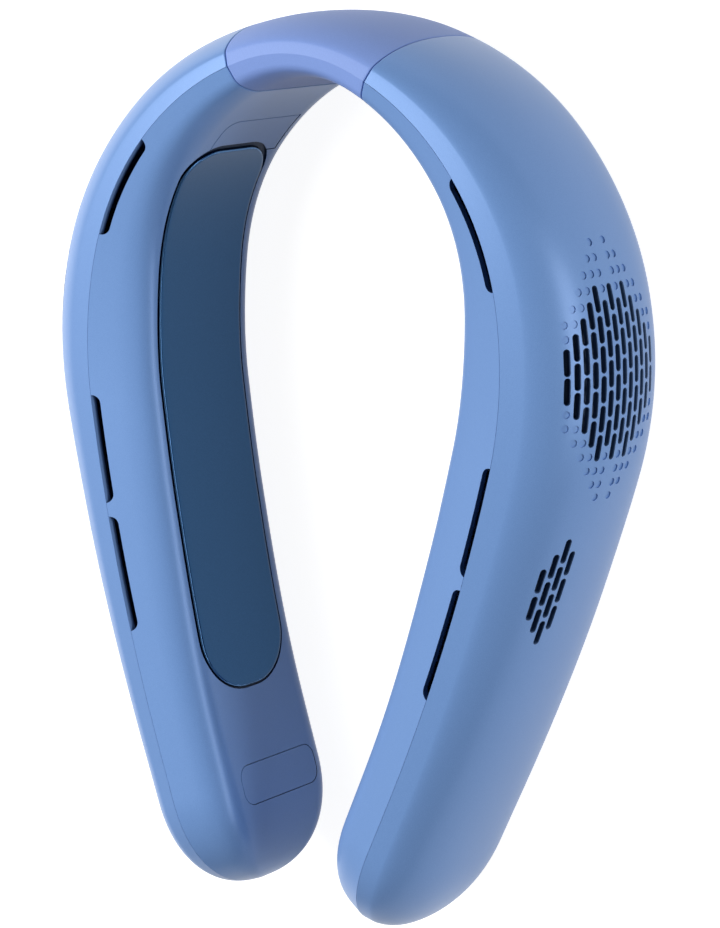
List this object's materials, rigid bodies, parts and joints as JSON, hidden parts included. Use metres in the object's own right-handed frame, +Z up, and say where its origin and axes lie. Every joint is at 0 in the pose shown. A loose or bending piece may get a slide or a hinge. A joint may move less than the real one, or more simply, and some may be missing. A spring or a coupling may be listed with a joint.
{
  "type": "electric neck fan",
  "caption": "Horseshoe neck fan with two deep hollow arms, a soft bridge behind the neck, slotted air outlets on top, staggered intake grilles outside and dark cooling plates inside.",
  "frame": {"origin": "middle of the bottom of the bounding box, with the ring lying on its bottom edge", "axes": "+X toward the wearer's left arm, +Y toward the nape, +Z up through the ring"},
  "size_m": [0.185, 0.2554, 0.0596],
  "materials": {
    "pearl_shell": "pearly blue paint on moulded plastic, fine flakes",
    "soft_silicone": "soft-touch silicone, matte",
    "plate_metal": "anodised dark blue, glossy",
    "black_rubber": "matte",
    "dark_plastic": "moulded",
    "light_plastic": "moulded",
    "steel": "plain",
    "screen_mesh": "fine woven dust screen",
    "bare_aluminium": "extruded fins",
    "copper": "enamelled winding",
    "bronze": "sintered",
    "ceramic": "white ceramic faces",
    "cell_wrap": "laminated foil pouch",
    "board": "solder mask",
    "lens": "clear light guide",
    "cable_film": "flat flexible film"
  },
  "bodies": {
    "neck": {"neck_sleeve": "soft_silicone", "neck_spine": "dark_plastic", "neck_cable": "cable_film"},
    "arm_left": {"outer_shell_left": "pearl_shell", "inner_shell_left": "pearl_shell", "cooling_plate_left": "plate_metal", "plate_seal_left": "black_rubber", "bridge_trim_left": "pearl_shell", "tip_cover_left": "pearl_shell", "hinge_bracket_left": "steel", "hinge_pin_left": "steel", "hinge_washers_left": "bronze", "intake_screen_left": "screen_mesh", "blower_housing_left": "dark_plastic", "blower_cover_left": "dark_plastic", "blower_screws_left": "steel", "motor_stator_left": "copper", "motor_bearing_left": "bronze", "heat_sink_left": "bare_aluminium", "peltier_modules_left": "ceramic", "battery_cells_left": "cell_wrap", "circuit_board_left": "board", "board_screws_left": "steel", "case_screws_left": "steel"},
    "arm_right": {"outer_shell_right": "pearl_shell", "inner_shell_right": "pearl_shell", "cooling_plate_right": "plate_metal", "plate_seal_right": "black_rubber", "bridge_trim_right": "pearl_shell", "tip_cover_right": "pearl_shell", "hinge_bracket_right": "steel", "hinge_pin_right": "steel", "hinge_washers_right": "bronze", "intake_screen_right": "screen_mesh", "blower_housing_right": "dark_plastic", "blower_cover_right": "dark_plastic", "blower_screws_right": "steel", "motor_stator_right": "copper", "motor_bearing_right": "bronze", "heat_sink_right": "bare_aluminium", "peltier_modules_right": "ceramic", "battery_cells_right": "cell_wrap", "circuit_board_right": "board", "board_screws_right": "steel", "case_screws_right": "steel", "tact_switches": "dark_plastic", "indicator_light": "lens", "usb_socket": "steel"},
    "fan_left": {"motor_rotor_left": "steel", "motor_shaft_left": "steel", "impeller_left": "light_plastic"},
    "fan_right": {"motor_rotor_right": "steel", "motor_shaft_right": "steel", "impeller_right": "light_plastic"},
    "power_button": {"power_button": "pearl_shell"},
    "mode_button": {"mode_button": "pearl_shell"}
  },
  "joints": [
    {"name": "arm_left_swing", "type": "hinge", "parent": "neck", "child": "arm_left", "pos_m": [0.01232, 0.11782, 0.0298], "axis": [0, 0, 1], "range_deg": [0, 12], "deforming": ["neck_sleeve", "neck_cable"]},
    {"name": "arm_right_swing", "type": "hinge", "parent": "neck", "child": "arm_right", "pos_m": [-0.01232, 0.11782, 0.0298], "axis": [0, 0, -1], "range_deg": [0, 12], "deforming": ["neck_sleeve", "neck_cable"]},
    {"name": "fan_left_spin", "type": "hinge", "parent": "arm_left", "child": "fan_left", "pos_m": [0.07017, 0.03988, 0.0298], "axis": [0.9988, 0.0498, 0], "continuous": true},
    {"name": "fan_right_spin", "type": "hinge", "parent": "arm_right", "child": "fan_right", "pos_m": [-0.07017, 0.03988, 0.0298], "axis": [-0.9988, 0.0498, 0], "continuous": true},
    {"name": "power_press", "type": "slide", "parent": "arm_right", "child": "power_button", "axis": [0.9397, 0.3421, 0], "range_m": [0, 0.00035], "stiffness_N_per_m": 2500, "springref_m": -0.0004},
    {"name": "mode_press", "type": "slide", "parent": "arm_right", "child": "mode_button", "axis": [0.9397, 0.3421, 0], "range_m": [0, 0.00035], "stiffness_N_per_m": 2500, "springref_m": -0.0004}
  ]
}
